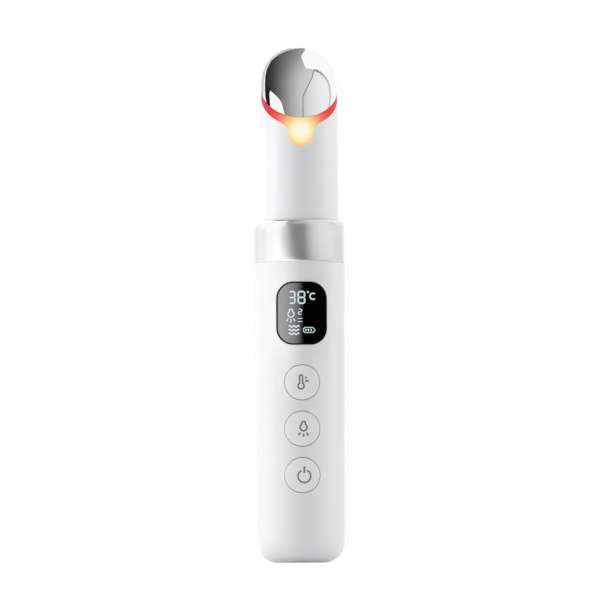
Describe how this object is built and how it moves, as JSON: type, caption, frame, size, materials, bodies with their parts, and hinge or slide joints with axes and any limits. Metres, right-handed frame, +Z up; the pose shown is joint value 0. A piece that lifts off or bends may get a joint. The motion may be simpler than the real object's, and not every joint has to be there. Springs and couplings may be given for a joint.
{
  "type": "eye massager wand",
  "caption": "Slim eye massager wand: round handle with display window and push buttons, metal collar, slanted glowing ring and polished oblique heating head.",
  "frame": {"origin": "centre of the wand's flat base", "axes": "+Z up the wand to its head; the display and the buttons face -Y, so the head's slant falls towards -Y; +X to the right seen from the front"},
  "size_m": [0.026, 0.026, 0.15],
  "materials": {
    "white_plastic": "smooth satin moulding",
    "collar_aluminium": "fine bead blast, clear anodised",
    "black_rubber": "moulded",
    "light_guide_plastic": "frosted, lit from inside",
    "dark_gasket": "moulded",
    "chrome": "mirror polish",
    "heater_ceramic": "fired, unglazed",
    "glass_bead": "clear",
    "board_white": "white solder mask",
    "led_red": "moulded lens",
    "led_amber": "moulded lens",
    "frame_plastic": "fine spark texture",
    "steel": "drawn sheet",
    "magnet": "ground ferrite",
    "end_cap_plastic": "moulded",
    "copper": "enamelled windings",
    "weight_metal": "sintered",
    "screw_steel": "zinc plated",
    "board_green": "green solder mask",
    "chip_black": "moulded epoxy",
    "module_white": "moulded reflector",
    "black_window": "polished acrylic",
    "cell_wrap": "shrink sleeve over a metal can",
    "foam": "closed-cell foam",
    "lead_red": "silicone insulation",
    "lead_black": "silicone insulation",
    "ribbon_film": "polyimide film",
    "button_plastic": "satin moulding",
    "actuator_plastic": "moulded",
    "switch_metal": "pressed frame over a moulded base"
  },
  "bodies": {
    "wand": {"handle_shell": "white_plastic", "collar_ring": "collar_aluminium", "neck_shell": "white_plastic", "neck_seal": "black_rubber", "light_guide": "light_guide_plastic", "head_seal": "dark_gasket", "massage_head": "chrome", "heater_plate": "heater_ceramic", "thermistor": "glass_bead", "light_board": "board_white", "red_leds": "led_red", "amber_leds": "led_amber", "motor_mount": "frame_plastic", "motor_can": "steel", "motor_magnet": "magnet", "motor_end_cap": "end_cap_plastic", "tie_screws": "screw_steel", "chassis": "frame_plastic", "chassis_screws": "screw_steel", "main_board": "board_green", "board_screws": "screw_steel", "control_chip": "chip_black", "charge_chip": "chip_black", "boost_coil": "chip_black", "display_module": "module_white", "display_lens": "black_window", "battery_cell": "cell_wrap", "cell_pad": "foam", "battery_lead_positive": "lead_red", "battery_lead_negative": "lead_black", "charge_board": "board_green", "socket_shell": "steel", "socket_tongue": "chip_black", "charge_leads": "lead_red", "motor_leads": "lead_black", "head_ribbon": "ribbon_film", "power_switch": "switch_metal", "light_switch": "switch_metal", "temperature_switch": "switch_metal"},
    "temperature_key": {"temperature_button": "button_plastic", "temperature_actuator": "actuator_plastic"},
    "light_key": {"light_button": "button_plastic", "light_actuator": "actuator_plastic"},
    "power_key": {"power_button": "button_plastic", "power_actuator": "actuator_plastic"},
    "motor_rotor": {"motor_shaft": "steel", "motor_armature": "copper", "eccentric_weight": "weight_metal"}
  },
  "joints": [
    {"name": "temperature_press", "type": "slide", "parent": "wand", "child": "temperature_key", "axis": [0, 1, 0], "range_m": [0, 0.00035], "stiffness_N_per_m": 1500},
    {"name": "light_press", "type": "slide", "parent": "wand", "child": "light_key", "axis": [0, 1, 0], "range_m": [0, 0.00035], "stiffness_N_per_m": 1500},
    {"name": "power_press", "type": "slide", "parent": "wand", "child": "power_key", "axis": [0, 1, 0], "range_m": [0, 0.00035], "stiffness_N_per_m": 1500},
    {"name": "rotor_spin", "type": "hinge", "parent": "wand", "child": "motor_rotor", "pos_m": [0, 0, 0.108], "axis": [0, 0, 1], "continuous": true}
  ]
}
